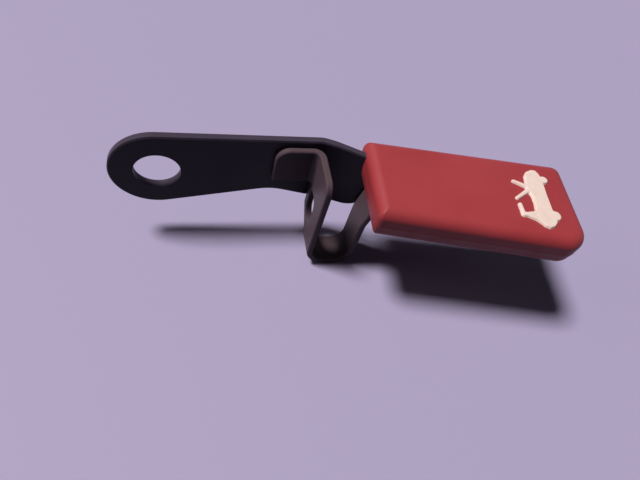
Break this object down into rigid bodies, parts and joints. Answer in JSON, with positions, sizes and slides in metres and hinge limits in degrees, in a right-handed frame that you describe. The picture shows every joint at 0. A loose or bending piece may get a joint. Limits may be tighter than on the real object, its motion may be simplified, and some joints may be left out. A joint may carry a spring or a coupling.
{
  "type": "hood release handle",
  "caption": "Steel lever with a pivot eye, a folded strap that holds the release cable's end, and a flat red plastic grip moulded over the free ends.",
  "frame": {"origin": "centre of the pivot bore, half way through the lever plate", "axes": "+X along the lever towards the grip, +Y along the pivot away from the cable loop, +Z out of the grip's sign face"},
  "size_m": [0.123, 0.0369, 0.0379],
  "materials": {
    "arm_steel": "black coated, low gloss",
    "strap_steel": "black coated, low gloss",
    "grip_plastic": "satin moulded red"
  },
  "bodies": {
    "root": {"pivot_arm": "arm_steel", "cable_bracket": "strap_steel", "handle_grip": "grip_plastic"}
  },
  "joints": []
}
